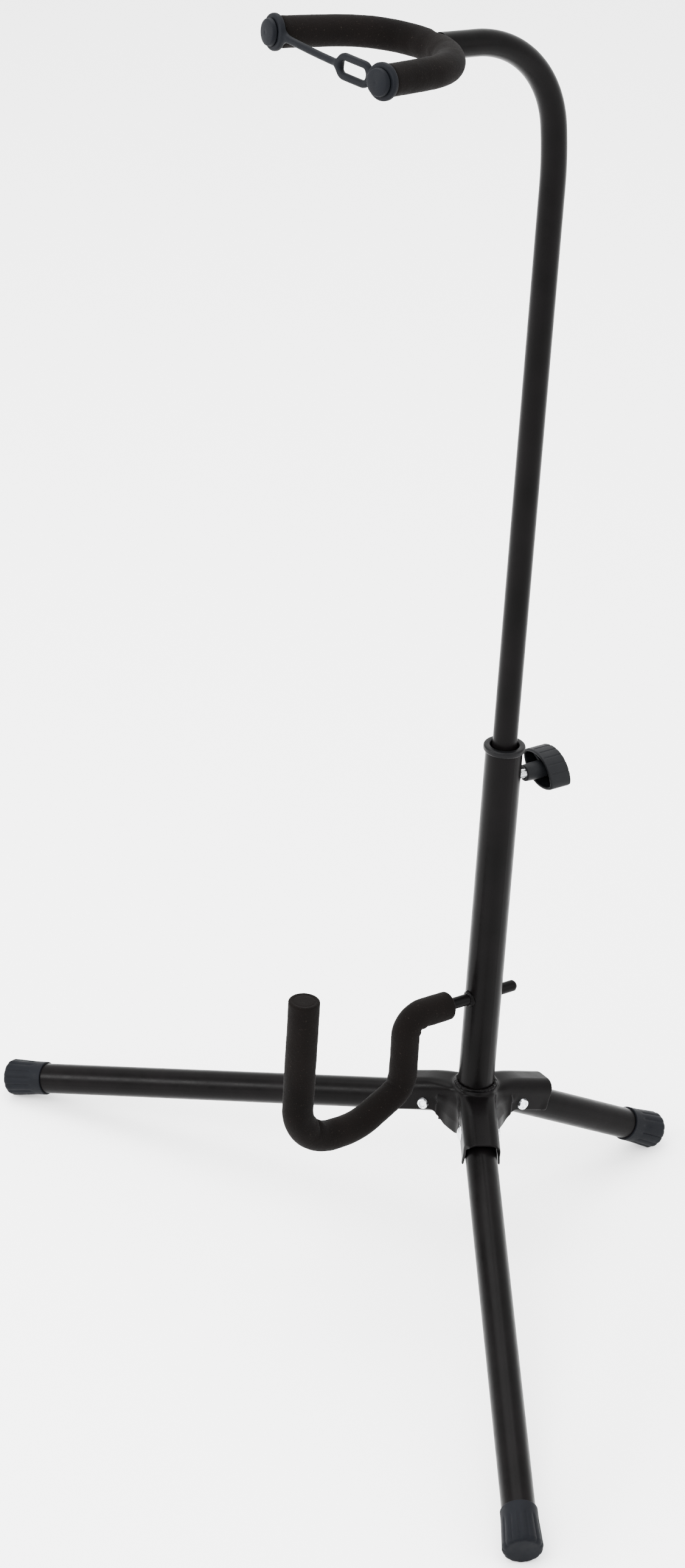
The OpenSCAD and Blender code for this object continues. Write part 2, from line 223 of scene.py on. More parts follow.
def sweep(pts, heads, radius, around):
    """Rings along a centre line in the Y-Z plane. radius is a number, (rows,) or (rows, around).
    Angle 0 points to the side that a positive bend turns to."""
    angle = np.linspace(0, 2 * math.pi, around, endpoint=False)
    radius = np.asarray(radius, float)
    radius = np.broadcast_to(radius[:, None] if radius.ndim == 1 else radius, (len(pts), around))
    normal = np.stack([np.zeros_like(heads), -np.cos(heads), -np.sin(heads)], -1)
    side = np.array([1.0, 0.0, 0.0])
    centre = np.stack([np.zeros(len(pts)), pts[:, 0], pts[:, 1]], -1)
    return (centre[:, None] + radius[..., None]
            * (np.cos(angle)[None, :, None] * normal[:, None]
               + np.sin(angle)[None, :, None] * side[None, None]))


def carve(field, low, high, cell):
    """Surface where field(x, y, z) is zero, negative inside: points in mm and faces."""
    axes = [np.arange(low[i], high[i] + cell, cell) for i in range(3)]
    x, y, z = np.meshgrid(*axes, indexing="ij")
    d = np.clip(field(x, y, z), -4 * cell, 4 * cell).astype(np.float32)
    grid = vdb.FloatGrid(4 * cell)
    grid.copyFromArray(d)
    points, triangles, quads = grid.convertToPolygons(isovalue=0.0, adaptivity=0.0)
    points = points.astype(float) * cell + np.array(low)
    return points, [tuple(f) for f in triangles] + [tuple(f) for f in quads]


def relax(points, faces, rounds, share=0.5, regrow=1.04):
    """Moves each point towards the mean of its neighbours and a little further back, round after
    round, to take out the grid's steps without shrinking the form."""
    pairs = np.array([(f[i], f[i - 1]) for f in faces for i in range(len(f))])
    edges = np.unique(np.sort(pairs, 1), axis=0)
    count = np.bincount(edges.ravel(), minlength=len(points))[:, None]
    for weight in (share, -share * regrow) * rounds:
        total = np.zeros_like(points)
        np.add.at(total, edges[:, 0], points[edges[:, 1]])
        np.add.at(total, edges[:, 1], points[edges[:, 0]])
        points = points + weight * (total / count - points)
    return points, faces


def smin(a, b, k):
    """Union of two fields, blended over k."""
    h = np.maximum(k - np.abs(a - b), 0) / k
    return np.minimum(a, b) - h * h * k / 4


def smax(a, b, k):
    """Intersection of two fields, blended over k."""
    return -smin(-a, -b, k)


def both(a, b, r):
    """Where both a and b are inside, with the edge rounded to radius r."""
    return (np.sqrt(np.maximum(a + r, 0) ** 2 + np.maximum(b + r, 0) ** 2)
            + np.minimum(np.maximum(a + r, b + r), 0) - r)


def fade(x, a, b):
    """Smooth step from 0 at a to 1 at b."""
    t = np.clip((x - a) / (b - a), 0, 1)
    return t * t * (3 - 2 * t)


def hump(x, middle, width):
    """Bell curve, 1 at middle."""
    return np.exp(-((x - middle) / width) ** 2)


# ---------------------------------------------------------------------------------------------
# Materials
# ---------------------------------------------------------------------------------------------
def material(name, dark, light, rough, metal=0.0, grain=800.0, bump=0.1, depth=0.0001,
             spots=None, specular=0.5, cloud=35.0, fine=None, sheen=0.0):
    """Colour drifts from dark to light and roughness over the pair rough, in clouds of scale
    cloud. grain, bump and depth are the bump's scale, strength and distance, and fine the same
    for a second bump over it. spots is the scale, colour and threshold of small flecks."""
    m = bpy.data.materials.new(name)
    m.use_nodes = True
    t = m.node_tree
    t.nodes.clear()
    new = t.nodes.new

    def noise(scale, detail, roughness=0.5):
        n = new("ShaderNodeTexNoise")
        n.inputs["Scale"].default_value = scale
        n.inputs["Detail"].default_value = detail
        n.inputs["Roughness"].default_value = roughness
        t.links.new(coord.outputs["Object"], n.inputs["Vector"])
        return n.outputs["Fac"]

    def ramp(source, stops):
        n = new("ShaderNodeValToRGB")
        for element, (position, tint) in zip(n.color_ramp.elements, stops):
            element.position = position
            element.color = (*tint, 1)
        t.links.new(source, n.inputs["Fac"])
        return n.outputs["Color"]

    def relief(source, strength, distance, under=None):
        n = new("ShaderNodeBump")
        n.inputs["Strength"].default_value = strength
        n.inputs["Distance"].default_value = distance
        t.links.new(source, n.inputs["Height"])
        if under:
            t.links.new(under, n.inputs["Normal"])
        return n.outputs["Normal"]

    coord = new("ShaderNodeTexCoord")
    out = new("ShaderNodeOutputMaterial")
    bsdf = new("ShaderNodeBsdfPrincipled")
    t.links.new(bsdf.outputs["BSDF"], out.inputs["Surface"])
    bsdf.inputs["Metallic"].default_value = metal
    bsdf.inputs["Specular IOR Level"].default_value = specular
    if sheen:
        bsdf.inputs["Sheen Weight"].default_value = sheen
        bsdf.inputs["Sheen Roughness"].default_value = 0.5

    colour = ramp(noise(cloud, 4.0), ((0.32, dark), (0.7, light)))
    if spots:
        scale, tint, threshold = spots
        flecks = ramp(noise(scale, 2.0, 0.6),
                      ((threshold, (0, 0, 0)), (min(1.0, threshold + 0.08), (1, 1, 1))))
        mix = new("ShaderNodeMix")
        mix.data_type = "RGBA"
        t.links.new(flecks, mix.inputs["Factor"])
        t.links.new(colour, mix.inputs["A"])
        mix.inputs["B"].default_value = (*tint, 1)
        colour = mix.outputs["Result"]
    t.links.new(colour, bsdf.inputs["Base Color"])

    wear = noise(cloud * 4, 3.0)
    span = new("ShaderNodeMapRange")
    span.inputs["To Min"].default_value = rough[0]
    span.inputs["To Max"].default_value = rough[1]
    span.inputs["From Min"].default_value = 0.3
    span.inputs["From Max"].default_value = 0.7
    t.links.new(wear, span.inputs["Value"])
    t.links.new(span.outputs["Result"], bsdf.inputs["Roughness"])

    normal = relief(noise(grain, 3.0, 0.6), bump, depth)
    if fine:
        normal = relief(noise(fine[0], 2.0, 0.5), fine[1], fine[2], normal)
    t.links.new(normal, bsdf.inputs["Normal"])
    return m


coat = material("powder_coat", (0.0011, 0.0010, 0.0010), (0.0020, 0.0017, 0.0018), (0.28, 0.37),
                grain=1500, bump=0.25, depth=0.00006, specular=0.03, fine=(350, 0.12, 0.0002))
foam = material("foam", (0.0013, 0.0010, 0.0009), (0.0027, 0.0021, 0.0019), (0.85, 0.95),
                grain=1300, bump=0.7, depth=0.00035, spots=(900, (0.012, 0.0095, 0.008), 0.67),
                specular=0.025, cloud=28, fine=(420, 0.35, 0.0004), sheen=0.012)
rubber = material("rubber", (0.0015, 0.0018, 0.0026), (0.0027, 0.0031, 0.0043), (0.55, 0.68),
                  grain=1600, bump=0.3, depth=0.0001, specular=0.05, fine=(300, 0.1, 0.0002))
plastic = material("bush_plastic", (0.0013, 0.0013, 0.0015), (0.0023, 0.0023, 0.0026),
                   (0.34, 0.46), grain=1800, bump=0.2, depth=0.00008, specular=0.06)
knob_plastic = material("knob_plastic", (0.0022, 0.0024, 0.0029), (0.0036, 0.0039, 0.0046),
                        (0.5, 0.6), grain=2600, bump=0.4, depth=0.0001, specular=0.07)
zinc = material("zinc", (0.58, 0.60, 0.63), (0.74, 0.75, 0.77), (0.16, 0.30), metal=1.0,
                grain=900, bump=0.12, depth=0.00005, cloud=120)
SLOTS = {"powder_coat": coat, "foam": foam, "rubber": rubber, "bush_plastic": plastic,
         "knob_plastic": knob_plastic, "zinc": zinc}

slot_of = {s["node"]: s["material_slot"] for s in frame["record"]["subparts"]}
for node_name, node in frame["nodes"].items():
    chosen = SLOTS[slot_of[node_name]]
    if len(node.data.materials) == 0:
        node.data.materials.append(chosen)
    for i in range(len(node.data.materials)):
        node.data.materials[i] = chosen


# ---------------------------------------------------------------------------------------------
# Hub: one stamping, drawn up to a neck and down into three channels
# ---------------------------------------------------------------------------------------------
WALL = 1.5                       # the sheet's thickness
RIDGE, ROOF = 20.6, 17.9         # where the roofs' lines meet the tube's axis, and their slope
HALF, CORNER = 12.6, 8.4         # a channel's half width, and the radius of its upper corners
REACH = 64.0                     # a channel's end, along its roof
FILLET = 26.0                    # plan radius of the webs between the channels
NECK_R, NECK_TOP = 14.3, 14.4
PIN_HOLE_R = 3.05
CHANNELS, WEBS = (-30, 90, 210), (30, 150, 270)
SIN_60, TAN_60 = math.sin(math.radians(60)), math.tan(math.radians(60))


def outward(x, y, azimuth):
    """Distance out along an azimuth, and distance to either side of it."""
    c, s = math.cos(math.radians(azimuth)), math.sin(math.radians(azimuth))
    return x * c + y * s, np.abs(-x * s + y * c)


def on_channel(azimuth, out, side, z):
    a = math.radians(azimuth)
    return (out * math.cos(a) - side * math.sin(a), out * math.sin(a) + side * math.cos(a), z)


# Press marks: centre, radius and height
MARKS = [(on_channel(210, 24.5, 12.6, -2.0), 2.6, -0.5),
         (on_channel(210, 19.5, 13.2, 1.5), 3.0, 0.6),
         (on_channel(90, 24.5, -12.6, -1.0), 2.4, 0.5),
         (on_channel(-30, 24.5, -12.8, -1.5), 2.4, 0.4)]


def hub_field(x, y, z):
    c, s = math.cos(math.radians(ROOF)), math.sin(math.radians(ROOF))
    body = None
    low_edge = np.full_like(x, 1e3)
    end = np.full_like(x, -1e3)
    furthest = np.full_like(x, -1e3)
    for azimuth in CHANNELS:
        out, side = outward(x, y, azimuth)
        along = out * c - (z - RIDGE) * s
        up = out * s + (z - RIDGE) * c
        flare = 0.7 * fade(along, 57, 64) * fade(-up, 11, 21)
        arm = smax(both(side - HALF - flare, up, CORNER), -out - 2, 2.0)
        body = arm if body is None else smin(body, arm, 2.5)
        # The lower edge and the end are those of the channel that a point is in
        here = out > furthest
        furthest = np.where(here, out, furthest)
        edge = -1.8 - 0.322 * out + 2.2 * fade(out, 50, 61)
        low = -18 + (edge + 18) * fade(out, 15, 29)
        low_edge = np.where(here, low, low_edge)
        end = np.where(here, along - REACH, end)
    # Webs: a vertical wall with a concave plan between each two channels, under a rounded
    # shoulder. Each stops where its curve touches the channels' walls
    meet = HALF / SIN_60
    for azimuth in WEBS:
        out, side = outward(x, y, azimuth)
        plan = FILLET - np.sqrt((out - meet - FILLET / SIN_60) ** 2 + side ** 2)
        plan = np.maximum(plan, out * 0.5 + side * SIN_60 - (0.5 * meet + FILLET / TAN_60))
        plan = np.maximum(plan, -out)
        web = both(plan, z - 6.3 - 0.6 * fade(24 - out, 0, 8), 6.5)
        body = smin(body, web, 1.6)
    # The roofs stop short of the neck's rolled lip
    body = smax(body, z - 12.0, 3.5)
    r = np.sqrt(x * x + y * y)
    cone = np.maximum(r - NECK_R - 0.3 * np.clip(11.5 - z, 0, 20), z - 16)
    body = smin(body, cone, 4.5)
    lip = np.sqrt((r - 14.2) ** 2 + (z - 13.1) ** 2) - 1.3 - 0.12 * np.sin(9 * np.arctan2(y, x))
    body = smin(body, lip, 0.7)
    for (mx, my, mz), radius, height in MARKS:
        distance2 = (x - mx) ** 2 + (y - my) ** 2 + (z - mz) ** 2
        body = body - height * np.exp(-distance2 / radius ** 2)
    shell = smax(body, -(body + WALL), 0.5)
    shell = smax(shell, z - NECK_TOP, 0.4)
    shell = smax(shell, (low_edge - z) * 0.93, 0.6)
    shell = smax(shell, end, 0.7)
    shell = smax(shell, UPRIGHT_R + 0.06 - r, 0.4)
    for azimuth in CHANNELS:
        out, _ = outward(x, y, azimuth)
        hole = PIN_HOLE_R - np.sqrt((out - PIVOT_R) ** 2 + (z - PIVOT_H) ** 2)
        shell = np.where(out > 20, np.maximum(shell, hole), shell)
    return shell


cell = 0.55
points, faces = relax(*carve(hub_field, (-62, -38, -26), (62, 64, 18), cell), 4)
make("hub_shell", place(TUBE, points), faces, "stand", coat, ["hub"])

# The stop tabs under the legs' inner ends are part of the stamping
for azimuth, droop, _ in LEGS.values():
    sine, cosine = math.sin(math.radians(droop)), math.cos(math.radians(droop))
    top = LEG_BACK * sine - LEG_R * cosine + PIVOT_H - 0.15
    mid = PIVOT_R - LEG_BACK * cosine - LEG_R * sine - 2.0

    def tab_field(x, y, z, top=top, mid=mid):
        return both(both(np.abs(x - mid) - 2.0, np.abs(z - top + 0.75) - 0.75, 0.4),
                    np.abs(y) - 12.0, 0.4)

    points, faces = carve(tab_field, (mid - 3.5, -13.5, top - 3), (mid + 3.5, 13.5, top + 1.5),
                          0.35)
    make("stop_tab_%d" % (azimuth % 360), place(TUBE @ turn("Z", azimuth), points), faces,
         "stand", coat)


def weld_field(x, y, z):
    """Irregular bead in the corner between the upright and the hub's neck."""
    r = np.sqrt(x * x + y * y)
    t = np.arctan2(y, x)
    flat = np.stack([x, y, z * 0], -1)
    ripple = 0.09 * np.sin(t * 26 + 2.5 * np.sin(t * 3)) + 0.5 * fuzz(flat, 4.2, 3)
    bead_r = 13.35 + 0.25 * fuzz(flat, 7.0, 5)
    bead_z = 14.7 + 0.5 * fuzz(flat, 9.0, 6)
    bead = np.sqrt((r - bead_r) ** 2 + ((z - bead_z) * 1.05) ** 2) - 1.35 - ripple
    spatter = fuzz(np.stack([x, y, z], -1), 1.6, 8)
    return np.maximum(bead - 0.12 * spatter, UPRIGHT_R + 0.02 - r)


points, faces = carve(weld_field, (-17, -17, 12), (17, 17, 17.5), 0.32)
make("hub_weld_bead", place(TUBE, points), faces, "stand", coat, ["hub_weld"])

# ---------------------------------------------------------------------------------------------
# Rivets and foot caps
# ---------------------------------------------------------------------------------------------
PIN_R = 3.0
# From the rolled end, through the channel, to the domed head
RIVET = ([(0.0, -HALF - 1.05), (1.2, -HALF - 1.1), (1.75, -HALF - 1.15), (1.95, -HALF - 1.5)]
         + arc(2.85, -HALF - 1.35, 0.85, 190, 350, 9)
         + [(3.95, -HALF - 0.55), (4.1, -HALF - 0.03), (PIN_R, -HALF - 0.02),
            (PIN_R, HALF + 0.02), (5.35, HALF + 0.03), (5.6, HALF + 0.16), (5.55, HALF + 0.38)]
         + arc(0.0, HALF + 2.35 - 7.9, 7.9, 44, 90, 12)[1:])

CAP_LEN, FLUTES = 31.0, 14
# From the mouth round the leg to the closed end
CAP = ([(LEG_R + 0.06, 0.0), (11.3, -0.02), (11.9, 0.05), (12.1, 0.35)]
       + [(12.1 + 0.9 * max(0.0, (z - 7) / 16), z) for z in np.linspace(0.8, 28.0, 30)]
       + arc(10.5, 28.5, 2.5, 0, 90, 8)[1:]
       + [(9.0, 30.98), (6.0, 30.92), (3.0, 30.88), (0.0, 30.86)])


def fluted(angle, r, z):
    if r < 11.5:
        return np.full_like(angle, r)
    depth = 0.80 * float(fade(z, 7.0, 10.5)) * (1 - 0.35 * float(fade(z, 27.5, 31)))
    wave = np.abs(np.sin(angle * FLUTES / 2 + 0.12 * np.sin(3 * angle))) ** 0.5
    return r - depth * (1 - wave)


for name, (azimuth, droop, length) in LEGS.items():
    leg = leg_frame(azimuth, droop)

    def dent(angle, r, z, seed=azimuth):
        """The rolled end isn't quite round."""
        if z >= -HALF - 0.1:
            return np.full_like(angle, r)
        return r * (1 + 0.02 * np.sin(3 * angle + seed) + 0.012 * np.sin(7 * angle - seed))

    base = leg @ (mirror_x() if name != "rear" else np.eye(4)) @ turn("Y", 90)
    points, faces = lathe(RIVET, 72, dent)
    make("rivet_pin_" + name, place(base, points), faces, "stand", zinc,
         ["rivet_" + name], 38)

    points, faces = lathe(CAP, FLUTES * 14, fluted)
    make("cap_" + name, place(leg @ move(0, 0, length - CAP_LEN), points), faces,
         name + "_leg", rubber, ["foot_cap_" + name], 42)

# ---------------------------------------------------------------------------------------------
# Clamp: flanged bush, threaded screw, lens-shaped knob
# ---------------------------------------------------------------------------------------------
FLANGE = [(r, UPRIGHT_TOP + z) for r, z in
          [(8.6, -2.0), (11.25, -2.0), (11.25, 0.01), (12.6, 0.02)]
          + arc(12.7, 1.4, 1.38, -90, 0, 7) + arc(12.7, 3.0, 1.38, 0, 90, 8)
          + [(12.0, 4.42), (10.4, 4.42), (10.0, 4.2), (9.8, 3.7), (9.6, 0.6), (9.3, -0.2),
             (8.6, -0.6)]]
points, faces = lathe(FLANGE, 112, closed=True)
make("bush_flange", place(TUBE, points), faces, "stand", plastic,
     ["top_bush"], 40)


def plug_field(x, y, z):
    """The part inside the upright, with the pocket that the plate and the pad sit in."""
    r = np.sqrt(x * x + y * y)
    wall = np.maximum(np.maximum(r - 11.2, 8.32 - r),
                      np.maximum(UPRIGHT_TOP - 35.0 - z, z - UPRIGHT_TOP + 1.6))
    pocket = np.maximum(np.maximum(np.abs(x) - 4.0, -y), np.abs(z - CLAMP_H) - 5.2)
    return np.maximum(wall, -pocket)


points, faces = carve(plug_field, (-12.5, -12.5, UPRIGHT_TOP - 36.5), (12.5, 12.5, UPRIGHT_TOP),
                      0.4)
make("bush_plug", place(TUBE, points), faces, "stand", plastic, (), 40)

# The screw, from its chamfered tip at the pad into the knob
SCREW = TUBE @ move(0, 0, CLAMP_H) @ turn("X", -90)
SCREW_TIP, SCREW_END, SCREW_R = 9.2, 37.6, 3.0
PITCH, PER_TURN, SCREW_AROUND = 1.0, 12, 36
rows = int((SCREW_END - SCREW_TIP) / (PITCH / PER_TURN))
angle = np.linspace(0, 2 * math.pi, SCREW_AROUND, endpoint=False)
grid = []
for i in range(rows + 1):
    z = SCREW_TIP + (SCREW_END - SCREW_TIP) * i / rows
    phase = np.mod(z / PITCH - angle / (2 * math.pi), 1.0)
    tooth = np.clip(np.abs(phase - 0.5) * 2 * 1.25 - 0.1, 0, 1)
    r = SCREW_R - 0.52 * tooth
    if z - SCREW_TIP < 0.9:
        r = np.minimum(r, 2.3 + (z - SCREW_TIP) * 0.75)
    grid.append(np.stack([r * np.cos(angle), r * np.sin(angle), np.full(SCREW_AROUND, z)], -1))
points, faces = rings(np.array(grid))
make("thumb_screw", place(SCREW, points), faces, "knob", zinc, ["clamp_screw"], 50)

# The grip is a lens seen along the screw, and hollow towards the upright round its boss
GRIP_LEN, GRIP_W, GRIP_DEPTH = 37.5, 21.5, 16.5
GRIP_NEAR, BOSS_NEAR = 29.6, 18.0
GRIP_FLOOR = GRIP_NEAR + GRIP_DEPTH - 1
LINE_GAP = 5.8


def knob_field(x, y, z):
    arc_r = (GRIP_LEN ** 2 + GRIP_W ** 2) / (4 * GRIP_W)
    rim = GRIP_LEN / 2 - 0.6
    r = np.sqrt(x * x + y * y)
    # Straight grip lines, cut across the two broad faces parallel to the knob's axis
    lines = np.abs(np.mod(x + LINE_GAP / 2, LINE_GAP) - LINE_GAP / 2)
    cut = (0.42 * hump(lines, 0, 0.34) * fade(15.5 - np.abs(x), 0, 1)
           * fade(z, GRIP_NEAR + 1.2, GRIP_NEAR + 2.6))
    lens = np.maximum(np.sqrt(x * x + (y - arc_r + GRIP_W / 2) ** 2) - arc_r,
                      np.sqrt(x * x + (y + arc_r - GRIP_W / 2) ** 2) - arc_r)
    lens = smax(lens, r - rim, 1.6)
    outer = both(lens + cut, np.abs(z - GRIP_NEAR - GRIP_DEPTH / 2) - GRIP_DEPTH / 2, 1.1)
    hollow = np.maximum(lens + 2.0, z - (GRIP_NEAR + GRIP_DEPTH - 2.6))
    hollow = smax(hollow, -(z - GRIP_NEAR + 3), 0.5)
    body = smax(outer, -hollow, 0.7)
    boss = both(r - 5.6 - 0.06 * np.clip(z - BOSS_NEAR, 0, 7),
                np.maximum(BOSS_NEAR - z, z - GRIP_FLOOR), 0.8)
    body = smin(body, boss, 0.8)
    # Two ribs that cross inside the hollow
    for across, along, half in ((y, x, 16), (x, y, 9)):
        ends = np.maximum(np.abs(along) - half,
                          np.maximum(GRIP_NEAR + 5.5 - z, z - GRIP_FLOOR))
        rib = both(np.abs(across) - 0.8, ends, 0.3)
        body = smin(body, np.maximum(rib, lens + 0.6), 0.8)
    # Countersunk bore for the screw
    cone = r - (3.9 - 0.45 * np.clip(z - BOSS_NEAR, 0, 2))
    body = smax(body, -np.maximum(cone, z - BOSS_NEAR - 3.5), 0.4)
    return np.maximum(body, -np.maximum(r - SCREW_R - 0.03, z - (GRIP_NEAR + 8.1)))


points, faces = carve(knob_field, (-19.5, -12, 17), (19.5, 12, 47), 0.3)
make("thumb_knob", place(SCREW @ turn("Z", 23), points), faces, "knob",
     knob_plastic, ["clamp_knob"])

# ---------------------------------------------------------------------------------------------
# Neck tube: straight, then a slight bend, then the gooseneck
# ---------------------------------------------------------------------------------------------
NECK_FOOT, STRAIGHT = 195.0, 469.0
NECK_TUBE_R, NECK_BORE_R = 8.25, 7.05
SLIGHT_R, SLIGHT = 260.0, 8.6
GOOSE_R, GOOSE, TAIL = 73.0, 86.0, 27.4    # GOOSE is the heading after both bends
YOKE_GAP = 6.0                             # from the tube's end to the yoke rod's centre
pts, heads, _ = route([(STRAIGHT, SLIGHT_R, SLIGHT), (1.0, GOOSE_R, GOOSE - SLIGHT),
                       (TAIL, 0, 0)], 2.0)
outer = sweep(pts, heads, NECK_TUBE_R, 72)
inner = sweep(pts, heads, NECK_BORE_R, 72)[::-1]
points, faces = rings(np.concatenate([outer, inner]), closed=True)
make("gooseneck", place(NECK @ move(0, 0, NECK_FOOT), points), faces, "neck",
     coat, ["neck_tube"], 40)

# ---------------------------------------------------------------------------------------------
# Yoke: an arc with two straight prongs, in the X-Y plane of its own frame
# ---------------------------------------------------------------------------------------------
YOKE_R, SPLAY, PRONG = 46.5, 9.0, 37.0
ARC = math.radians(90 - SPLAY)
HALF_ARC = YOKE_R * ARC
YOKE_FOAM_R = 9.5
yoke_at = pts[-1] + YOKE_GAP * np.array([-math.sin(heads[-1]), math.cos(heads[-1])])
YOKE = NECK @ move(0, yoke_at[0], NECK_FOOT + yoke_at[1]) @ turn("X", GOOSE - 90)


def yoke_line(s):
    """X, Y and heading of the yoke's centre line at distance s from its middle."""
    side = 1 if s >= 0 else -1
    t = min(abs(s) / YOKE_R, ARC)
    straight = max(abs(s) - HALF_ARC, 0.0)
    return (side * (YOKE_R * math.sin(t) + straight * math.cos(t)),
            -YOKE_R * (1 - math.cos(t)) - straight * math.sin(t), side * t)


def prong_frame(side):
    """Origin at a prong's root, +Z along it to its tip."""
    x, y, _ = yoke_line(HALF_ARC)
    return (YOKE @ (mirror_x() if side < 0 else np.eye(4)) @ move(x, y, 0)
            @ turn("Z", SPLAY - 90) @ turn("Y", 90))


# The sleeve: one foam tube from eyelet to eyelet
pace = 1.0
total = 2 * (HALF_ARC + PRONG)
n = int(total / pace)
run = np.linspace(-total / 2, total / 2, n + 1)
line = np.array([yoke_line(s) for s in run])
head, zero = line[:, 2], np.zeros(n + 1)
centre = np.stack([line[:, 0], line[:, 1], zero], -1)
sideways = np.stack([np.sin(head), np.cos(head), zero], -1)
AROUND = 72
angle = np.linspace(0, 2 * math.pi, AROUND, endpoint=False)
direction = (np.cos(angle)[None, :, None] * sideways[:, None]
             + np.sin(angle)[None, :, None] * np.array([0, 0, 1.0])[None, None])
surface = centre[:, None] + YOKE_FOAM_R * direction
s2, a2 = np.meshgrid(run, angle, indexing="ij")
radius = np.full_like(s2, YOKE_FOAM_R + 0.05)
radius += (0.16 * fuzz(surface, 16, 21) + 0.07 * fuzz(surface, 5, 22)
           + 0.045 * fuzz(surface, 1.8, 23))
# Slack gathers on the inside of the bend, and the sleeve squares up round the weld at the back
inside = np.clip(-np.cos(a2), 0, 1)
gathers = 0.5 + 0.5 * np.sin(s2 / 2.3 + 1.3 * fuzz(surface, 9, 24))
radius -= 0.35 * inside * hump(s2, 0, 42) * gathers
radius += 0.55 * hump(np.abs(s2), 12, 7) * np.clip(np.cos(a2 + 0.5), 0, 1) ** 2
radius += 1.2 * hump(s2, 13, 5.5) * np.clip(np.cos(a2 + 0.9), 0, 1) ** 2
# A crease round the gooseneck's end, and rounded ends with a slight roll behind them
tube_gap = np.sqrt(surface[..., 0] ** 2 + surface[..., 2] ** 2)
radius -= 0.9 * hump(tube_gap, 8.6, 1.3) * (surface[..., 1] > 0)
end = total / 2 - np.abs(s2)
radius -= 0.9 * np.exp(-end / 0.7) - 0.10 * hump(end, 3, 2.0)
grid = centre[:, None] + radius[..., None] * direction
bore = (centre[:, None] + 5.5 * direction)[::-1]
points, faces = rings(np.concatenate([grid, bore]), closed=True)
sleeve = make("yoke_sleeve", place(YOKE, points), faces, "neck", foam, ["yoke_foam"], 60)

# A plug on each prong: stem, mushroom head, domed face with a small dimple
PLUG = ([(4.03, 30.0), (5.3, 30.0), (5.4, 30.4), (5.4, 41.2), (7.7, 41.3)]
        + arc(7.4, 42.3, 0.95, -70, 20, 7) + arc(6.9, 43.6, 1.25, 10, 68, 6)
        + [(6.0, 45.15), (4.5, 45.42), (2.5, 45.58), (1.0, 45.6), (0.7, 45.5), (0.0, 45.46)])
for side, name in ((-1, "left"), (1, "right")):
    points, faces = lathe(PLUG, 84)
    make("plug_" + name, place(prong_frame(side), points), faces, "neck", rubber,
         ["yoke_plug_" + name], 45)

RING_R, RING_T = 11.2, 4.4
ring_x, ring_y, _ = yoke_line(HALF_ARC + PRONG + RING_T / 2)
SLOT_LEN, SLOT_W, RAIL = 33.0, 16.0, 4.5
slot_mid = ring_x - RING_R - SLOT_LEN / 2 + 1.2


def strap_field(x, y, z):
    """Two eyelets on the plugs, joined by a bar and a slot loop that hang a little low."""
    c, s = math.cos(math.radians(SPLAY)), math.sin(math.radians(SPLAY))
    low = z + 1.4 * np.clip(1 - (x / ring_x) ** 2, 0, 1)
    body = None
    for side in (-1, 1):
        u, v = (side * x - ring_x), (y - ring_y)
        across, thick = u * c + v * s, -u * s + v * c
        r = np.sqrt(across ** 2 + z ** 2)
        eyelet = both(np.abs(r - 8.3) - 2.9, np.abs(thick) - RING_T / 2, 1.7)
        eyelet = eyelet + 0.22 * hump(r, 7.6, 0.5)
        body = eyelet if body is None else np.minimum(body, eyelet)
    # Bar from the -X eyelet to the loop
    x0, x1 = -ring_x + RING_R - 2.0, slot_mid - SLOT_LEN / 2 + 2.0
    t = np.clip(x, x0, x1)
    waist = 2.3 + 0.9 * hump(x, x0, 3.5)
    bar = np.sqrt((x - t) ** 2 + ((y - ring_y) * 1.1) ** 2 + low ** 2) - waist
    mid = np.abs(x - slot_mid) - (SLOT_LEN - SLOT_W) / 2
    stadium = np.sqrt(np.maximum(mid, 0) ** 2 + low ** 2) - SLOT_W / 2
    loop = both(np.abs(stadium + RAIL / 2) - RAIL / 2, np.abs(y - ring_y) - 2.0, 1.6)
    return smin(body, smin(bar, loop, 3.0), 2.2)


points, faces = carve(strap_field, (-66, ring_y - 6, -12.2), (66, ring_y + 6, 12.2), 0.4)
make("strap", place(YOKE, points), faces, "neck", rubber, ["security_strap"])

# ---------------------------------------------------------------------------------------------
# Cradle: a rod through the upright and its foam sleeve
# ---------------------------------------------------------------------------------------------
ROD_R = 4.0
ROD_BACK = 26.5                  # the rod's end behind the upright's axis
SLEEVE_START, LEAD = 28.0, 22.0  # the sleeve's start before the axis, and on to the first bend
BENDS = [(30.5, 18.0, -60.0), (19.0, 45.0, -30.0), (8.0, 30.0, -90.0)]


def rod_frame(start):
    """Origin at Y = start on the rod's axis through the upright, +Z to the front."""
    return TUBE @ move(0, start, CRADLE_H) @ turn("X", 90)


# Bare rod: from its rounded end behind the upright to just short of the sleeve's tip
pts, heads, run = route([(ROD_BACK + SLEEVE_START + LEAD, 14.0, 90.0)] + BENDS
                        + [(79.9, 0, 0)], 1.5)
nose = 1.2 - np.sqrt(np.maximum(1.44 - (1.2 - run) ** 2, 0))
radius = ROD_R - np.where(run < 1.2, nose, 0)
points, faces = rings(sweep(pts, heads, radius, 40))
make("hook_rod", place(rod_frame(ROD_BACK), points), faces, "stand", coat,
     ["cradle_rod"], 45)


def bead_field(x, y, z):
    """Weld where the rod leaves the upright's front."""
    r = np.sqrt(x * x + z * z)
    tube = np.sqrt(x * x + y * y)
    p = np.stack([x, y, z], -1)
    lumps = 0.45 * fuzz(p, 2.6, 31) + 0.25 * fuzz(p, 1.1, 32)
    ring = np.sqrt((r - 4.2) ** 2 + (tube - 12.7) ** 2) - 1.75 - lumps
    return np.maximum(np.maximum(ring, UPRIGHT_R - 0.05 - tube), ROD_R - 0.1 - r)


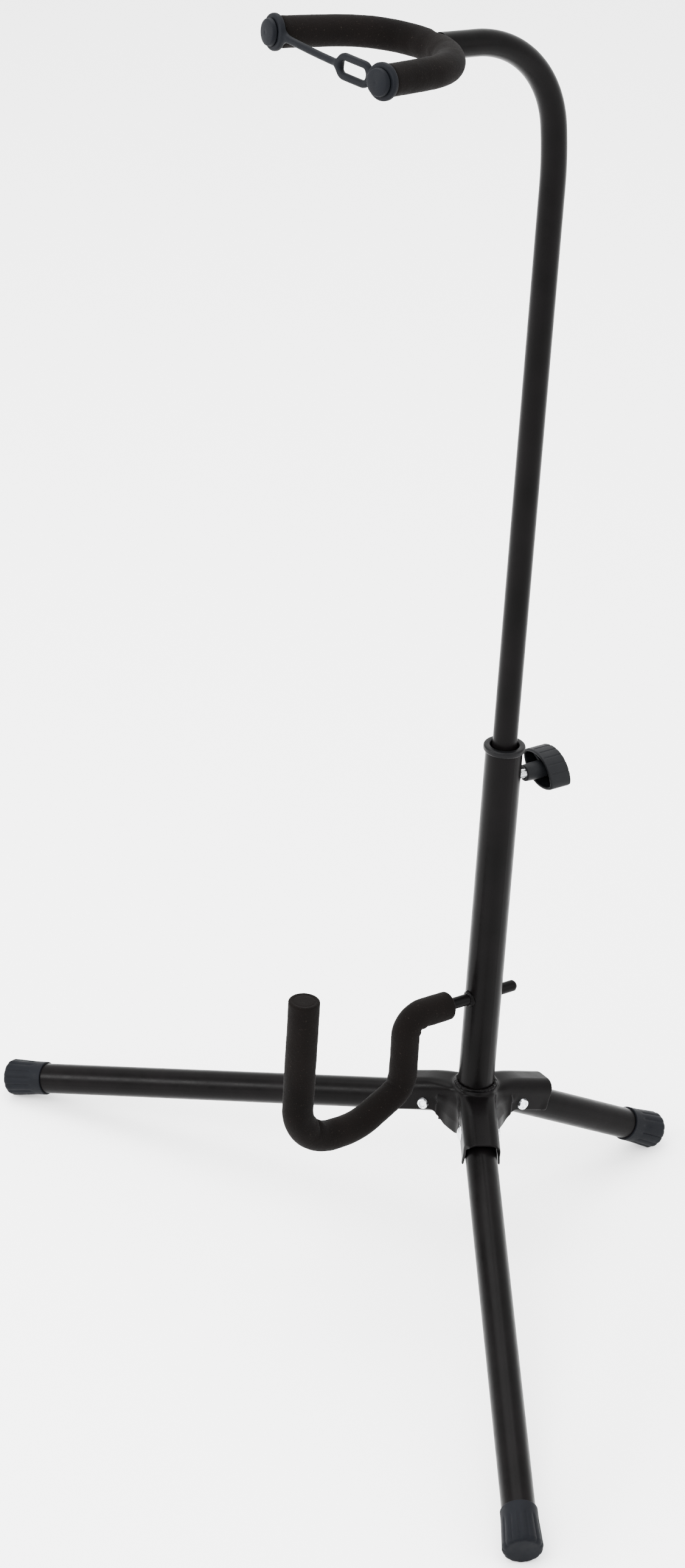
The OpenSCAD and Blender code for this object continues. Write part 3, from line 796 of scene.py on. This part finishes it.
points, faces = carve(bead_field, (-8, -18, -8), (8, -9, 8), 0.3)
make("hook_weld", place(TUBE @ move(0, 0, CRADLE_H), points), faces, "stand",
     coat, ["cradle_weld"])

steps = [(LEAD, 14.0, 90.0)] + BENDS + [(84.0, 0, 0)]
pts, heads, run = route(steps, 1.0)
# Extra rows close to each end, to round them
first = np.array([0.0, 0.25, 0.7, 1.3, 2.0, 2.8])
last = run[-1] - np.array([2.2, 1.3, 0.7, 0.3, 0.1, 0.0])
keep = np.concatenate([first, run[(run > 3.2) & (run < run[-1] - 2.8)], last])
pts = np.stack([np.interp(keep, run, pts[:, 0]), np.interp(keep, run, pts[:, 1])], -1)
heads = np.interp(keep, run, heads)
run = keep
base = sweep(pts, heads, 9.5, AROUND)
s2, a2 = np.meshgrid(run, angle, indexing="ij")
radius = 9.8 + 0.8 * fade(s2, 95, 150)
radius += 0.18 * fuzz(base, 15, 41) + 0.08 * fuzz(base, 5, 42) + 0.05 * fuzz(base, 1.8, 43)
# Folds on the inside of the tight bends: angle 0 at a positive bend, pi at a negative one
elbow, knee, _, heel, _ = bend_middles(steps)
in1 = np.clip(np.cos(a2), 0, 1)
in2 = np.clip(-np.cos(a2), 0, 1)
radius -= 1.1 * in1 ** 2 * hump(s2, elbow, 2.0)
radius -= 0.5 * in1 * hump(s2, elbow, 9) * np.cos((s2 - elbow) / 1.7)
radius -= 0.9 * in2 ** 2 * hump(s2, knee + 2, 2.4)
radius -= 0.4 * in2 * hump(s2, knee, 8) * np.cos((s2 - knee) / 1.8)
radius -= 1.7 * in2 ** 2 * hump(s2, heel - 1, 2.1)
radius += 0.35 * in2 * hump(s2, heel + 5, 3.5)
radius += 0.35 * in2 * hump(s2, heel - 7, 3.5)
# Slight flattening on the outside of the last bend
radius -= 0.3 * in1 ** 2 * hump(s2, heel, 14)
# The first end tapers to the rod, and the tip is rounded
near_end = np.clip(3.2 - s2, 0, None) / 3.2
radius *= 1 - 0.42 * near_end ** 2.2
tip = run[-1] - s2
radius -= 0.75 * np.exp(-(tip / 0.45) ** 1.2)
grid = sweep(pts, heads, radius, AROUND)
# Closed flat tip: rings that close in, with a shallow round seam
tip_centre = base[-1].mean(0)
tip_dir = np.array([0.0, -math.sin(heads[-1]), math.cos(heads[-1])])
lids = [tip_centre + (grid[-1] - tip_centre) * share - tip_dir * drop
        for share, drop in ((0.86, 0.02), (0.8, 0.10), (0.76, 0.28), (0.72, 0.12),
                            (0.6, 0.04), (0.35, 0.0), (0.12, -0.02), (0.0, -0.02))]
low_lid = base[0].mean(0) + (grid[0] - base[0].mean(0)) * 0.74
points, faces = rings(np.concatenate([[low_lid], grid, lids]))
hook_sleeve = make("hook_sleeve", place(rod_frame(-SLEEVE_START), points), faces, "stand",
                   foam, ["cradle_foam"], 60)

# ---------------------------------------------------------------------------------------------
# Stage, light and camera
# ---------------------------------------------------------------------------------------------
white = bpy.data.materials.new("floor_white")
white.use_nodes = True
wb = white.node_tree.nodes["Principled BSDF"]
wb.inputs["Base Color"].default_value = (0.92, 0.92, 0.92, 1)
wb.inputs["Roughness"].default_value = 0.9
wb.inputs["Specular IOR Level"].default_value = 0.1
mesh = bpy.data.meshes.new("floor")
mesh.from_pydata([(-30, -30, 0), (30, -30, 0), (30, 30, 0), (-30, 30, 0)], [], [(0, 1, 2, 3)])
floor = bpy.data.objects.new("floor", mesh)
bpy.context.collection.objects.link(floor)
floor.data.materials.append(white)

world = bpy.data.worlds.new("studio")
bpy.context.scene.world = world
world.use_nodes = True
world.node_tree.nodes["Background"].inputs["Color"].default_value = (1, 1, 1, 1)
world.node_tree.nodes["Background"].inputs["Strength"].default_value = 3.2


def area(name, location, target, width, height, power):
    """Soft light: place, aim and size in metres, power in watts."""
    light = bpy.data.lights.new(name, "AREA")
    light.shape = "RECTANGLE"
    light.size, light.size_y = width, height
    light.energy = power
    o = bpy.data.objects.new(name, light)
    o.location = location
    o.rotation_mode = "QUATERNION"
    o.rotation_quaternion = (Vector(target) - Vector(location)).to_track_quat("-Z", "Y")
    bpy.context.collection.objects.link(o)


area("key", (0.9, -2.2, 2.6), (0, 0, 0.4), 2.4, 3.0, 170)
area("fill", (2.6, 1.2, 1.8), (0, 0, 0.4), 2.0, 2.6, 90)
area("left", (-1.0, -2.4, 1.3), (-0.1, -0.05, 0.15), 0.7, 0.9, 95)
area("top", (-0.8, 0.2, 3.2), (0, 0, 0.3), 3.0, 3.0, 220)

# The focal length is 6558 rows of an image 2576 rows high
SENSOR, FOCAL_ROWS, IMAGE_ROWS = 36.0, 6558, 2576
camera = bpy.data.objects.new("camera", bpy.data.cameras.new("camera"))
bpy.context.collection.objects.link(camera)
bpy.context.scene.camera = camera
camera.data.sensor_width = SENSOR
camera.data.lens = SENSOR * FOCAL_ROWS / IMAGE_ROWS
camera.data.clip_end = 100
camera.location = (1.843, (-1359.8 + HUB_Y) / 1000, (1575.6 + HUB_H) / 1000)
look = Vector((-0.7167, 0.4855, -0.5007)).normalized()
up = Vector((-0.4139, 0.2817, 0.8656))
right = look.cross(up).normalized()
look = (look + right * 0.000305 + right.cross(look) * 0.0002).normalized()
right = look.cross(up).normalized()
up = right.cross(look)
camera.rotation_mode = "QUATERNION"
camera.rotation_quaternion = Matrix((right, up, -look)).transposed().to_quaternion()
